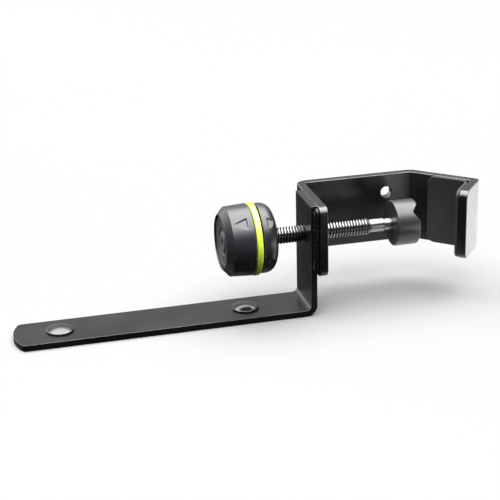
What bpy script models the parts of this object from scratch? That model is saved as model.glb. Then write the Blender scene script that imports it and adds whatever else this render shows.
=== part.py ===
"""Screw clamp on a riveted mounting strap, for hanging things from a round tube.

A flat bar is bent up into a short upright.  A second flat bar, bent into a C with
a V-shaped jaw, is welded to the far face of the upright.  A clamp screw runs
through both: a soft-grip knob turns it on the near side, and a swivelling pad on
its other end presses a tube into the rubber-lined jaw.

Frame: origin on the strap's underside, midway between the two rivets.
+X runs along the strap towards the jaw, +Z is up, and the C opens towards -Y.
"""

import math

import bmesh
import bpy
from mathutils import Matrix, Vector

MM = 0.001
GAP = 0.3                      # running or assembly gap between touching pieces

# Mounting strap: one bent flat bar
STRAP_WIDTH = 25.0
STRAP_THICKNESS = 3.0
STRAP_TIP_X = -65.4
UPRIGHT_X = 73.0               # near face of the upright
UPRIGHT_TOP_Z = 54.6
STRAP_BEND_RADIUS = 2.5        # inside the bend
TIP_CROWN_RADIUS = 24.0
TIP_CORNER_RADIUS = 1.8

# Dome-head rivets
RIVET_SPACING = 88.0
RIVET_SHANK_RADIUS = 2.4
RIVET_SHANK_END_Z = 0.1        # just above the strap's underside
RIVET_HEAD_RADIUS = 6.5
RIVET_HEAD_HEIGHT = 2.2
RIVET_RIM_HEIGHT = 0.6

# Clamp bracket: one flat bar, bent at both ends of the back wall and into the jaw
BAR_THICKNESS = 4.0
BAR_HEIGHT = 34.2
LEG_FRONT_Y = -16.5
WALL_OUTER_Y = 26.5
JAW_BEND_X = 135.8             # outer corner between back wall and sloping jaw wall
JAW_ANGLE = math.radians(43.5)
JAW_WALL_LENGTH = 36.3
LIP_TURN = math.radians(85)    # from the jaw wall into the lip
LIP_LENGTH = 22.0
BAR_BEND_RADIUS = 1.5          # inside the two bends of the back wall
APEX_INNER_RADIUS = 0.6        # the jaw's apex is pressed sharper
APEX_OUTER_RADIUS = 2.6
BAR_CORNER_RADIUS = 3.5
FIXING_HOLE_X = 121.9
FIXING_HOLE_DROP = 9.1         # below the bar's top edge
FIXING_HOLE_RADIUS = 2.7

# Threaded bush in the bracket's leg
BUSH_BODY_RADIUS = 5.6
BUSH_FLANGE_RADIUS = 7.6
BUSH_FLANGE_THICKNESS = 2.4

# Fillet welds down both edges of the upright
WELD_LEG_X = 2.4               # along the upright's edge
WELD_LEG_Y = 3.1               # along the bracket's leg
WELD_MARGIN = 0.9              # short of the bracket's top and bottom edge
WELD_SECTION = ((0, 0), (1, 0), (0.8, 0.29), (0.45, 0.72), (0, 1))   # shares of its legs

# Rubber liner in the jaw
LINER_THICKNESS = 1.4
LINER_HEIGHT = 34.0
LINER_BEND_RADIUS = 2.6        # inside, so the bend stands clear of the bar's corner
LINER_START = 11.5             # along the sloping wall from its outer bend corner
LINER_END_MARGIN = 0.3         # short of the lip's end
LINER_CORNER_RADIUS = 4.0

# Clamp screw
THREAD_RADIUS = 3.97
SCREW_START_X = 43.0
THREAD_END_X = 105.0
THREAD_RUNOUT = 1.2
NECK_RADIUS = 3.15
NECK_END_X = 112.4
GROOVE_RADIUS = 2.5
GROOVE_WIDTH = 0.7
JOURNAL_RADIUS = 2.8
JOURNAL_GROOVE_RADIUS = 2.1

# Swivelling pad, the snap ring that holds it and the disc it bears on
PAD_FACE_X = 116.6
PAD_LENGTH = 11.2
PAD_RADIUS = 10.9
PAD_EDGE = 0.9                 # rounding of the pad's far edge
SOCKET_DEPTH = 6.1
RING_POCKET_X = PAD_FACE_X + 1.2
RING_POCKET_WIDTH = 1.4
RING_OUTER_RADIUS = 4.0
DISC_THICKNESS = 1.0
V_DEPTH = 3.0                  # V groove across the pad's far face
V_HALF_WIDTH = 4.8
V_TURN = math.radians(47)      # of the groove from upright, by the screw's right-hand rule
V_FLOOR_HALF_WIDTH = 0.6

# Knob: hub, two grips with a ring between them, front cap
KNOB_RADIUS = 17.0
KNOB_FRONT_X = 32.8
KNOB_BACK_X = 57.7
GRIP_RIM_INNER_RADIUS = 12.5
GRIP_RIM_RADIUS = 13.0
GRIP_SHOULDER_X = 35.9
GRIP_SHOULDER_RADIUS = 16.4
GRIP_BACK_RADIUS = 11.2
CORE_FRONT_X = 35.3
CORE_BACK_X = 55.5
CORE_RADIUS = 14.4
CORE_CHAMFER = 1.0
RING_START_X = 46.6
RING_WIDTH = 2.8
RING_PROUD = 0.25
REAR_GRIP_GAP = 0.8            # shadow line behind the ring
CAP_FRONT_X = 33.7
CAP_BACK_X = 35.0
CAP_RADIUS = 12.2
TOOL_HOLE_RADIUS = 2.2

# Hexagonal insert in the hub, and the cap screw that holds the hub
INSERT_START_X = 43.0
INSERT_RADIUS = 6.6
INSERT_END_MARGIN = 0.6
KNOB_SCREW_RADIUS = 2.0
SCREW_HEAD_RADIUS = 3.5
SCREW_HEAD_X = 36.6
SCREW_HEAD_HEIGHT = 3.2
HEAD_CLEARANCE = 0.8
HEX_SOCKET_RADIUS = 1.7
HEX_SOCKET_DEPTH = 2.0
TAP_DEPTH = 11.0
HUB_SEAT_THICKNESS = 1.6       # hub wall under the cap screw's washer

CHAMFER = 0.5                  # usual broken edge
SCREW_Z = UPRIGHT_TOP_Z - BAR_HEIGHT / 2
LEG_X = UPRIGHT_X + STRAP_THICKNESS + GAP
LEG_BACK_X = LEG_X + BAR_THICKNESS
PAD_END_X = PAD_FACE_X + PAD_LENGTH
ROUND_STEPS = 36
SMALL_STEPS = 24
CLEAR = 2.0                    # how far a cutter runs past what it cuts


# ---------------------------------------------------------------- materials

def make_material(name, colour, roughness, metallic=0.0):
    """A plain Principled material."""
    material = bpy.data.materials.new(name)
    material.use_nodes = True
    shader = material.node_tree.nodes["Principled BSDF"]
    shader.inputs["Base Color"].default_value = (*colour, 1.0)
    shader.inputs["Roughness"].default_value = roughness
    shader.inputs["Metallic"].default_value = metallic
    material.diffuse_color = (*colour, 1.0)
    return material


# ---------------------------------------------------------------- mesh tools

def add_object(name, mesh_builder, material):
    """Link a new object made from a bmesh given in millimetres."""
    bmesh.ops.recalc_face_normals(mesh_builder, faces=mesh_builder.faces)
    bmesh.ops.scale(mesh_builder, vec=Vector((MM, MM, MM)), verts=mesh_builder.verts)
    mesh = bpy.data.meshes.new(name)
    mesh_builder.to_mesh(mesh)
    mesh_builder.free()
    mesh.shade_smooth()
    mesh.set_sharp_from_angle(angle=math.radians(30))
    piece = bpy.data.objects.new(name, mesh)
    bpy.context.collection.objects.link(piece)
    if material:
        mesh.materials.append(material)
    return piece


def prism(outline, depth_vector):
    """Extrude a closed planar outline (3-D points) along a vector."""
    builder = bmesh.new()
    verts = [builder.verts.new(point) for point in outline]
    face = builder.faces.new(verts)
    grown = bmesh.ops.extrude_face_region(builder, geom=[face])
    moved = [item for item in grown["geom"] if isinstance(item, bmesh.types.BMVert)]
    bmesh.ops.translate(builder, vec=Vector(depth_vector), verts=moved)
    return builder


def turned(profile, steps, axis_z=SCREW_Z):
    """Spin a closed (x, radius) profile round the screw axis.

    A profile whose first and last radius are both 0 makes a solid piece; any other
    closed profile makes a ring.
    """
    builder = bmesh.new()
    solid = profile[0][1] == 0 and profile[-1][1] == 0
    rings = []
    for x, radius in profile:
        if radius == 0:
            rings.append([builder.verts.new((x, 0, axis_z))])
            continue
        ring = []
        for step in range(steps):
            angle = 2 * math.pi * step / steps
            ring.append(builder.verts.new((x, radius * math.cos(angle),
                                           axis_z + radius * math.sin(angle))))
        rings.append(ring)
    pairs = list(zip(rings, rings[1:]))
    if not solid:
        pairs.append((rings[-1], rings[0]))
    for first, second in pairs:
        for step in range(steps):
            following = (step + 1) % steps
            corners = []
            for vert in (first[step % len(first)], first[following % len(first)],
                         second[following % len(second)], second[step % len(second)]):
                if vert not in corners:
                    corners.append(vert)
            builder.faces.new(corners)
    return builder


def cylinder(radius, start, direction, length, steps=SMALL_STEPS):
    """A plain cylinder between start and start + direction * length."""
    builder = bmesh.new()
    bmesh.ops.create_cone(builder, cap_ends=True, segments=steps,
                          radius1=radius, radius2=radius, depth=length)
    turn = Vector((0, 0, 1)).rotation_difference(Vector(direction)).to_matrix().to_4x4()
    middle = Vector(start) + Vector(direction) * length / 2
    bmesh.ops.transform(builder, matrix=Matrix.Translation(middle) @ turn,
                        verts=builder.verts)
    return builder


def cut(piece, builder, name):
    """Subtract a cutter solid from a piece with an exact Boolean."""
    cutter = add_object("cutter_" + name, builder, None)
    cutter.hide_render = True
    cutter.display_type = "WIRE"
    modifier = piece.modifiers.new("cut_" + name, "BOOLEAN")
    modifier.operation = "DIFFERENCE"
    modifier.object = cutter


def arc(centre, radius, start, end, steps):
    """Points of a circular arc in a plane, ends included; angles in radians."""
    points = []
    for step in range(steps + 1):
        angle = start + (end - start) * step / steps
        points.append((centre[0] + radius * math.cos(angle),
                       centre[1] + radius * math.sin(angle)))
    return points


def offset_corner(before, corner, after, distance):
    """The corner of a polyline moved sideways, to the left, by a distance."""
    first = (Vector(corner) - Vector(before)).normalized()
    second = (Vector(after) - Vector(corner)).normalized()
    left_first = Vector((-first.y, first.x))
    left_second = Vector((-second.y, second.x))
    bisector = (left_first + left_second).normalized()
    return Vector(corner) + bisector * distance / bisector.dot(left_first)


def rounded_corner(before, corner, after, radius, steps=6):
    """Points that replace a corner by a tangent arc."""
    back = (Vector(before) - Vector(corner)).normalized()
    ahead = (Vector(after) - Vector(corner)).normalized()
    half = back.angle(ahead) / 2
    reach = radius / math.tan(half)
    centre = Vector(corner) + (back + ahead).normalized() * radius / math.sin(half)
    start = Vector(corner) + back * reach - centre
    end = Vector(corner) + ahead * reach - centre
    sweep = math.atan2(start.x * end.y - start.y * end.x, start.dot(end))
    points = []
    for step in range(steps + 1):
        turn = Matrix.Rotation(sweep * step / steps, 2)
        points.append(tuple(centre + turn @ start))
    return points


def bend_radii(inner, thickness):
    """Inside and outside radius of a bend of even thickness."""
    return inner, inner + thickness


def bent_strip(path, thickness, side, bends):
    """Closed outline of a bent strip with one edge along a polyline.

    The strip lies to the left of the path when side is 1, to the right when it is
    -1.  bends gives the inside and outside radius of each bend.
    """
    points = [Vector(point) for point in path]
    offset = side * thickness
    first_run = (points[1] - points[0]).normalized()
    last_run = (points[-1] - points[-2]).normalized()
    far_points = [points[0] + Vector((-first_run.y, first_run.x)) * offset]
    far_points += [offset_corner(*points[i - 1:i + 2], offset)
                   for i in range(1, len(points) - 1)]
    far_points.append(points[-1] + Vector((-last_run.y, last_run.x)) * offset)
    near_edge = [tuple(points[0])]
    far_edge = [tuple(far_points[0])]
    for i in range(1, len(points) - 1):
        before = points[i] - points[i - 1]
        after = points[i + 1] - points[i]
        wraps_strip = (before.x * after.y - before.y * after.x) * side > 0
        inner, outer = bends[i - 1]
        near_radius = outer if wraps_strip else inner
        far_radius = inner if wraps_strip else outer
        near_edge += rounded_corner(*points[i - 1:i + 2], near_radius)
        far_edge += rounded_corner(*far_points[i - 1:i + 2], far_radius)
    near_edge.append(tuple(points[-1]))
    far_edge.append(tuple(far_points[-1]))
    return near_edge + far_edge[::-1]


# ---------------------------------------------------------------- strap and rivets

def tip_cutter():
    """Waste round the strap's crowned, round-cornered tip, seen from above."""
    half = STRAP_WIDTH / 2
    sagitta = TIP_CROWN_RADIUS - math.sqrt(TIP_CROWN_RADIUS ** 2 - half ** 2)
    corner_x = STRAP_TIP_X + sagitta
    crown_centre = (STRAP_TIP_X + TIP_CROWN_RADIUS, 0)
    lean = math.asin(half / TIP_CROWN_RADIUS)
    crown_share = 0.86         # the rest of the crown is taken by the corners
    crown = arc(crown_centre, TIP_CROWN_RADIUS, math.pi - lean * crown_share,
                math.pi + lean * crown_share, 12)
    inside = corner_x + 2 * TIP_CORNER_RADIUS
    top = rounded_corner((inside, half), (corner_x, half), crown[1],
                         TIP_CORNER_RADIUS, 5)
    bottom = rounded_corner(crown[-2], (corner_x, -half), (inside, -half),
                            TIP_CORNER_RADIUS, 5)
    edge = top + crown[1:-1] + bottom
    clear = half + 2 * CLEAR
    waste_x = STRAP_TIP_X - 2 * CLEAR
    outline = [(inside, half), (inside, clear), (waste_x, clear),
               (waste_x, -clear), (inside, -clear), (inside, -half)]
    outline = outline + edge[::-1]
    return prism([(x, y, -CLEAR) for x, y in outline],
                 (0, 0, STRAP_THICKNESS + 2 * CLEAR))


def make_mounting_strap(paint):
    """Flat bar with its crowned tip, bent up into the upright."""
    path = [(STRAP_TIP_X, 0), (UPRIGHT_X + STRAP_THICKNESS, 0),
            (UPRIGHT_X + STRAP_THICKNESS, UPRIGHT_TOP_Z)]
    outline = bent_strip(path, STRAP_THICKNESS, 1,
                         [bend_radii(STRAP_BEND_RADIUS, STRAP_THICKNESS)])
    half = STRAP_WIDTH / 2
    strap = add_object("mounting_strap",
                       prism([(x, -half, z) for x, z in outline], (0, STRAP_WIDTH, 0)),
                       paint)
    cut(strap, tip_cutter(), "strap_tip")
    for side, x in rivet_places():
        cut(strap, cylinder(RIVET_SHANK_RADIUS + GAP, (x, 0, -CLEAR), (0, 0, 1),
                            STRAP_THICKNESS + 2 * CLEAR), "rivet_hole_" + side)
    cut(strap, cylinder(THREAD_RADIUS + GAP, (UPRIGHT_X - CLEAR, 0, SCREW_Z),
                        (1, 0, 0), STRAP_THICKNESS + 2 * CLEAR), "screw_hole")
    return strap


def rivet_places():
    """Side name and x of each rivet."""
    return (("outer", -RIVET_SPACING / 2), ("inner", RIVET_SPACING / 2))


def stand_up(builder, x):
    """Turn a piece made along the screw axis so that it stands on +Z at x."""
    bmesh.ops.translate(builder, vec=Vector((0, 0, -SCREW_Z)), verts=builder.verts)
    upright = Matrix.Rotation(-math.pi / 2, 4, "Y")
    bmesh.ops.transform(builder, matrix=Matrix.Translation((x, 0, 0)) @ upright,
                        verts=builder.verts)
    return builder


def make_rivet(side, x, paint):
    """Solid rivet with a wide, low dome, its shank flush underneath."""
    seat = STRAP_THICKNESS + GAP
    rim = seat + RIVET_RIM_HEIGHT
    dome_height = RIVET_HEAD_HEIGHT - RIVET_RIM_HEIGHT
    dome_radius = (RIVET_HEAD_RADIUS ** 2 + dome_height ** 2) / (2 * dome_height)
    edge_angle = math.asin(RIVET_HEAD_RADIUS / dome_radius)
    dome = [(height, abs(radius)) for height, radius in
            arc((rim + dome_height - dome_radius, 0), dome_radius, edge_angle, 0, 6)]
    profile = [(RIVET_SHANK_END_Z, 0), (RIVET_SHANK_END_Z, RIVET_SHANK_RADIUS),
               (seat, RIVET_SHANK_RADIUS), (seat, RIVET_HEAD_RADIUS), *dome]
    return add_object("rivet_" + side, stand_up(turned(profile, SMALL_STEPS), x), paint)


# ---------------------------------------------------------------- clamp bracket

def bracket_path():
    """Outer edge of the bracket seen from above, from leg end to lip end."""
    jaw_bend = Vector((JAW_BEND_X, WALL_OUTER_Y))
    along_jaw = Vector((math.cos(JAW_ANGLE), -math.sin(JAW_ANGLE)))
    lip_angle = JAW_ANGLE + LIP_TURN
    along_lip = Vector((math.cos(lip_angle), -math.sin(lip_angle)))
    apex = jaw_bend + along_jaw * JAW_WALL_LENGTH
    lip_end = apex + along_lip * LIP_LENGTH
    return [Vector((LEG_X, LEG_FRONT_Y)), Vector((LEG_X, WALL_OUTER_Y)),
            jaw_bend, apex, lip_end]


def round_bar_end(piece, name, end, inward, depth, heights, radius):
    """Round the upper and lower corner at one end of an upright bar.

    end is a point on the end's edge seen from above, inward points along the bar,
    depth spans the bar's thickness from that point, heights are its bottom and top.
    """
    overlap = 0.01             # keeps the cut clear of the bar's own faces
    middle = radius - overlap
    curve = arc((middle, middle), radius, math.pi, 1.5 * math.pi, 6)
    outline = [(middle, -CLEAR), (-CLEAR, -CLEAR), (-CLEAR, middle)] + curve
    bottom, top = heights
    for level, edge_z, sign in (("top", top, -1), ("bottom", bottom, 1)):
        points = []
        for along, up in outline:
            place = end + inward * along - depth * 0.5
            points.append((place.x, place.y, edge_z + sign * up))
        cut(piece, prism(points, (2 * depth.x, 2 * depth.y, 0)), f"{name}_{level}")


def make_clamp_bracket(paint):
    """Flat bar bent into the C, with the V-shaped jaw at its far end."""
    path = bracket_path()
    wall_bend = bend_radii(BAR_BEND_RADIUS, BAR_THICKNESS)
    outline = bent_strip(path, BAR_THICKNESS, -1,
                         [wall_bend, wall_bend, (APEX_INNER_RADIUS, APEX_OUTER_RADIUS)])
    bottom = UPRIGHT_TOP_Z - BAR_HEIGHT
    bracket = add_object("clamp_bracket",
                         prism([(x, y, bottom) for x, y in outline],
                               (0, 0, BAR_HEIGHT)), paint)
    heights = (bottom, UPRIGHT_TOP_Z)
    for name, end, neighbour, side in (("leg", path[0], path[1], 1),
                                       ("lip", path[-1], path[-2], -1)):
        inward = (neighbour - end).normalized()
        depth = Vector((inward.y, -inward.x)) * side * BAR_THICKNESS
        round_bar_end(bracket, name, end, inward, depth, heights, BAR_CORNER_RADIUS)
    through = BAR_THICKNESS + 2 * CLEAR
    cut(bracket, cylinder(BUSH_BODY_RADIUS + GAP, (LEG_X - CLEAR, 0, SCREW_Z),
                          (1, 0, 0), through), "bush_hole")
    cut(bracket, cylinder(FIXING_HOLE_RADIUS,
                          (FIXING_HOLE_X, WALL_OUTER_Y - BAR_THICKNESS - CLEAR,
                           UPRIGHT_TOP_Z - FIXING_HOLE_DROP),
                          (0, 1, 0), through), "fixing_hole")
    return bracket


def make_weld(side, sign, paint):
    """Fillet weld between one edge of the upright and the bracket's leg."""
    corner_x = LEG_X - GAP
    corner_y = STRAP_WIDTH / 2 + GAP
    outline = [(corner_x - WELD_LEG_X * along, corner_y + WELD_LEG_Y * out)
               for along, out in WELD_SECTION]
    bottom = UPRIGHT_TOP_Z - BAR_HEIGHT + WELD_MARGIN
    return add_object("weld_" + side,
                      prism([(x, sign * y, bottom) for x, y in outline],
                            (0, 0, BAR_HEIGHT - 2 * WELD_MARGIN)), paint)


def make_threaded_bush(steel):
    """Flanged nut pressed into the leg from inside the C."""
    bore = THREAD_RADIUS + GAP
    seat = LEG_BACK_X + GAP
    profile = [(LEG_X + GAP, bore), (LEG_X + GAP, BUSH_BODY_RADIUS),
               (seat, BUSH_BODY_RADIUS), (seat, BUSH_FLANGE_RADIUS),
               (seat + BUSH_FLANGE_THICKNESS - CHAMFER, BUSH_FLANGE_RADIUS),
               (seat + BUSH_FLANGE_THICKNESS, BUSH_FLANGE_RADIUS - CHAMFER),
               (seat + BUSH_FLANGE_THICKNESS, bore)]
    return add_object("threaded_bush", turned(profile, SMALL_STEPS), steel)


def make_jaw_liner(rubber):
    """V-shaped rubber lining glued inside the jaw."""
    _, _, jaw_bend, apex, lip_end = bracket_path()
    along_jaw = (apex - jaw_bend).normalized()
    along_lip = (lip_end - apex).normalized()
    inner_apex = offset_corner(jaw_bend, apex, lip_end, -(BAR_THICKNESS + GAP))
    to_inside = Vector((along_jaw.y, -along_jaw.x))
    start = jaw_bend + along_jaw * LINER_START + to_inside * (BAR_THICKNESS + GAP)
    lip_inside = Vector((along_lip.y, -along_lip.x))
    end = lip_end - along_lip * LINER_END_MARGIN + lip_inside * (BAR_THICKNESS + GAP)
    outline = bent_strip([start, inner_apex, end], LINER_THICKNESS, -1,
                         [bend_radii(LINER_BEND_RADIUS, LINER_THICKNESS)])
    bottom = UPRIGHT_TOP_Z - (BAR_HEIGHT + LINER_HEIGHT) / 2
    liner = add_object("jaw_liner", prism([(x, y, bottom) for x, y in outline],
                                          (0, 0, LINER_HEIGHT)), rubber)
    heights = (bottom, bottom + LINER_HEIGHT)
    round_bar_end(liner, "liner_wall", start, along_jaw, to_inside * LINER_THICKNESS,
                  heights, LINER_CORNER_RADIUS)
    round_bar_end(liner, "liner_lip", end, -along_lip, lip_inside * LINER_THICKNESS,
                  heights, LINER_CORNER_RADIUS)
    return liner


# ---------------------------------------------------------------- screw and pad

def make_clamp_screw(steel):
    """Threaded rod, drawn plain, with its neck, groove and journal."""
    tap = KNOB_SCREW_RADIUS + GAP
    journal_end = PAD_FACE_X + SOCKET_DEPTH - 2 * GAP - DISC_THICKNESS
    pocket_end = RING_POCKET_X + RING_POCKET_WIDTH
    profile = [(SCREW_START_X + TAP_DEPTH, 0), (SCREW_START_X + TAP_DEPTH, tap),
               (SCREW_START_X, tap), (SCREW_START_X, THREAD_RADIUS - CHAMFER),
               (SCREW_START_X + CHAMFER, THREAD_RADIUS), (THREAD_END_X, THREAD_RADIUS),
               (THREAD_END_X + THREAD_RUNOUT, NECK_RADIUS), (NECK_END_X, NECK_RADIUS),
               (NECK_END_X, GROOVE_RADIUS), (NECK_END_X + GROOVE_WIDTH, GROOVE_RADIUS),
               (NECK_END_X + GROOVE_WIDTH + JOURNAL_RADIUS - GROOVE_RADIUS,
                JOURNAL_RADIUS),
               (RING_POCKET_X, JOURNAL_RADIUS), (RING_POCKET_X, JOURNAL_GROOVE_RADIUS),
               (pocket_end, JOURNAL_GROOVE_RADIUS), (pocket_end, JOURNAL_RADIUS),
               (journal_end - CHAMFER, JOURNAL_RADIUS),
               (journal_end, JOURNAL_RADIUS - CHAMFER), (journal_end, 0)]
    return add_object("clamp_screw", turned(profile, SMALL_STEPS), steel)


def make_pad_body(plastic):
    """Round pad with a stepped socket behind and a V groove across its front."""
    bore = JOURNAL_RADIUS + GAP
    pocket = RING_OUTER_RADIUS + GAP
    pocket_end = RING_POCKET_X + RING_POCKET_WIDTH
    floor = PAD_FACE_X + SOCKET_DEPTH
    profile = [(floor, 0), (floor, bore), (pocket_end, bore), (pocket_end, pocket),
               (RING_POCKET_X, pocket), (RING_POCKET_X, bore), (PAD_FACE_X, bore),
               (PAD_FACE_X, PAD_RADIUS - CHAMFER), (PAD_FACE_X + CHAMFER, PAD_RADIUS),
               (PAD_END_X - PAD_EDGE, PAD_RADIUS),
               (PAD_END_X - 0.3 * PAD_EDGE, PAD_RADIUS - 0.3 * PAD_EDGE),
               (PAD_END_X, PAD_RADIUS - PAD_EDGE), (PAD_END_X, 0)]
    pad = add_object("pad_body", turned(profile, ROUND_STEPS), plastic)
    slope = (V_HALF_WIDTH - V_FLOOR_HALF_WIDTH) / V_DEPTH
    mouth = V_HALF_WIDTH + slope * CLEAR
    outline = [(PAD_END_X + CLEAR, -mouth), (PAD_END_X - V_DEPTH, -V_FLOOR_HALF_WIDTH),
               (PAD_END_X - V_DEPTH, V_FLOOR_HALF_WIDTH), (PAD_END_X + CLEAR, mouth)]
    low = -PAD_RADIUS - CLEAR
    groove = prism([(x, y, low) for x, y in outline], (0, 0, 2 * (PAD_RADIUS + CLEAR)))
    turn = Matrix.Translation((0, 0, SCREW_Z)) @ Matrix.Rotation(V_TURN, 4, "X")
    bmesh.ops.transform(groove, matrix=turn, verts=groove.verts)
    cut(pad, groove, "pad_groove")
    return pad


def make_snap_ring(steel):
    """Ring in the pad that keeps it on the journal."""
    bore = JOURNAL_GROOVE_RADIUS + GAP
    start = RING_POCKET_X + GAP
    end = RING_POCKET_X + RING_POCKET_WIDTH - GAP
    profile = [(start, bore), (start, RING_OUTER_RADIUS), (end, RING_OUTER_RADIUS),
               (end, bore)]
    return add_object("pad_snap_ring", turned(profile, SMALL_STEPS), steel)


def make_thrust_disc(steel):
    """Hard disc between the screw's end and the pad."""
    end = PAD_FACE_X + SOCKET_DEPTH - GAP
    start = end - DISC_THICKNESS
    profile = [(start, 0), (start, JOURNAL_RADIUS), (end, JOURNAL_RADIUS), (end, 0)]
    return add_object("thrust_disc", turned(profile, SMALL_STEPS // 2), steel)


# ---------------------------------------------------------------- knob

def make_knob_core(plastic):
    """Hard hub that carries the grips, the ring, the insert and the screw."""
    seat_x = SCREW_START_X - HUB_SEAT_THICKNESS
    head_bore = SCREW_HEAD_RADIUS + HEAD_CLEARANCE
    insert_bore = INSERT_RADIUS + GAP
    shank_bore = KNOB_SCREW_RADIUS + GAP
    profile = [(CORE_FRONT_X, head_bore), (CORE_FRONT_X, CORE_RADIUS - CORE_CHAMFER),
               (CORE_FRONT_X + CORE_CHAMFER, CORE_RADIUS),
               (CORE_BACK_X - CORE_CHAMFER, CORE_RADIUS),
               (CORE_BACK_X, CORE_RADIUS - CORE_CHAMFER), (CORE_BACK_X, insert_bore),
               (INSERT_START_X - GAP, insert_bore), (INSERT_START_X - GAP, shank_bore),
               (seat_x, shank_bore), (seat_x, head_bore)]
    return add_object("knob_core", turned(profile, ROUND_STEPS), plastic)


def make_knob_insert(brass):
    """Metal insert that keys the hub to the clamp screw."""
    bore = THREAD_RADIUS + GAP
    end = CORE_BACK_X - INSERT_END_MARGIN
    profile = [(INSERT_START_X, bore), (INSERT_START_X, INSERT_RADIUS),
               (end, INSERT_RADIUS), (end, bore)]
    return add_object("knob_insert", turned(profile, SMALL_STEPS), brass)


def make_knob_grip_front(rubber):
    """Front soft grip, tapering to the chamfered front rim."""
    inner = CORE_RADIUS + GAP
    end = RING_START_X - GAP
    shoulder_round = 0.8
    profile = [(KNOB_FRONT_X, GRIP_RIM_INNER_RADIUS), (KNOB_FRONT_X, GRIP_RIM_RADIUS),
               (GRIP_SHOULDER_X - shoulder_round, GRIP_SHOULDER_RADIUS - CHAMFER),
               (GRIP_SHOULDER_X, GRIP_SHOULDER_RADIUS), (end - CHAMFER, KNOB_RADIUS),
               (end, KNOB_RADIUS - CHAMFER), (end, inner), (CORE_FRONT_X, inner),
               (CORE_FRONT_X, GRIP_RIM_INNER_RADIUS)]
    return add_object("knob_grip_front", turned(profile, ROUND_STEPS), rubber)


def make_knob_ring(lime):
    """Bright ring between the two grips."""
    end = RING_START_X + RING_WIDTH
    inner = CORE_RADIUS + GAP
    outer = KNOB_RADIUS + RING_PROUD
    profile = [(RING_START_X, inner), (RING_START_X, outer - CHAMFER),
               (RING_START_X + CHAMFER, outer), (end - CHAMFER, outer),
               (end, outer - CHAMFER), (end, inner)]
    return add_object("knob_ring", turned(profile, ROUND_STEPS), lime)


def make_knob_grip_rear(rubber):
    """Rear soft grip, a cup with a rounded back."""
    inner = CORE_RADIUS + GAP
    start = RING_START_X + RING_WIDTH + REAR_GRIP_GAP
    inside_back = CORE_BACK_X + GAP
    throat = INSERT_RADIUS + INSERT_END_MARGIN
    fall = KNOB_RADIUS - CHAMFER - GRIP_BACK_RADIUS
    roundness = KNOB_BACK_X - fall
    back = arc((roundness, GRIP_BACK_RADIUS), fall, math.pi / 2, 0, 5)
    profile = [(start, inner), (start, KNOB_RADIUS - CHAMFER), *back,
               (KNOB_BACK_X, throat), (inside_back, throat), (inside_back, inner)]
    return add_object("knob_grip_rear", turned(profile, ROUND_STEPS), rubber)


def make_knob_cap(plastic):
    """Disc that closes the front recess, with a tool hole in the middle."""
    profile = [(CAP_FRONT_X, TOOL_HOLE_RADIUS), (CAP_FRONT_X, CAP_RADIUS - GAP),
               (CAP_FRONT_X + GAP, CAP_RADIUS), (CAP_BACK_X, CAP_RADIUS),
               (CAP_BACK_X, TOOL_HOLE_RADIUS)]
    return add_object("knob_cap", turned(profile, ROUND_STEPS), plastic)


def make_knob_screw(steel):
    """Cap screw that holds the hub on the clamp screw, with a tool socket."""
    under_head = SCREW_HEAD_X + SCREW_HEAD_HEIGHT
    tip = SCREW_START_X + TAP_DEPTH - 1
    socket_floor = SCREW_HEAD_X + HEX_SOCKET_DEPTH
    profile = [(socket_floor, 0), (socket_floor, HEX_SOCKET_RADIUS),
               (SCREW_HEAD_X, HEX_SOCKET_RADIUS), (SCREW_HEAD_X, SCREW_HEAD_RADIUS - GAP),
               (SCREW_HEAD_X + GAP, SCREW_HEAD_RADIUS), (under_head, SCREW_HEAD_RADIUS),
               (under_head, KNOB_SCREW_RADIUS), (tip - CHAMFER, KNOB_SCREW_RADIUS),
               (tip, KNOB_SCREW_RADIUS - CHAMFER), (tip, 0)]
    return add_object("knob_screw", turned(profile, SMALL_STEPS), steel)


def make_knob_washer(steel):
    """Washer under the cap screw's head."""
    start = SCREW_HEAD_X + SCREW_HEAD_HEIGHT + GAP
    end = SCREW_START_X - HUB_SEAT_THICKNESS - GAP
    bore = KNOB_SCREW_RADIUS + GAP
    profile = [(start, bore), (start, SCREW_HEAD_RADIUS), (end, SCREW_HEAD_RADIUS),
               (end, bore)]
    return add_object("knob_washer", turned(profile, SMALL_STEPS), steel)


# ---------------------------------------------------------------- assembly

def clear_scene():
    """Start from an empty scene."""
    for item in list(bpy.data.objects):
        bpy.data.objects.remove(item)


def build():
    """Make every piece of the clamp."""
    clear_scene()
    paint = make_material("black_powder_coat", (0.012, 0.012, 0.013), 0.42)
    make_mounting_strap(paint)
    rivet_paint = make_material("black_rivet", (0.015, 0.015, 0.016), 0.25, 0.6)
    for side, x in rivet_places():
        make_rivet(side, x, rivet_paint)
    make_clamp_bracket(paint)
    make_weld("front", -1, paint)
    make_weld("rear", 1, paint)
    zinc = make_material("zinc_steel", (0.55, 0.55, 0.54), 0.35, 1.0)
    make_threaded_bush(zinc)
    make_jaw_liner(make_material("liner_rubber", (0.02, 0.02, 0.02), 0.8))
    make_clamp_screw(make_material("black_nickel", (0.10, 0.10, 0.105), 0.22, 1.0))
    make_pad_body(make_material("pad_plastic", (0.03, 0.03, 0.031), 0.55))
    dark_steel = make_material("dark_steel", (0.06, 0.06, 0.065), 0.35, 1.0)
    make_snap_ring(dark_steel)
    make_thrust_disc(zinc)
    make_knob_core(make_material("hub_plastic", (0.02, 0.02, 0.022), 0.5))
    make_knob_insert(make_material("brass", (0.6, 0.45, 0.2), 0.35, 1.0))
    grip = make_material("soft_grip", (0.026, 0.028, 0.031), 0.62)
    make_knob_grip_front(grip)
    make_knob_ring(make_material("lime_ring", (0.50, 0.80, 0.02), 0.4))
    make_knob_grip_rear(grip)
    make_knob_cap(make_material("cap_plastic", (0.03, 0.032, 0.034), 0.5))
    make_knob_screw(dark_steel)
    make_knob_washer(zinc)


build()
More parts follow.
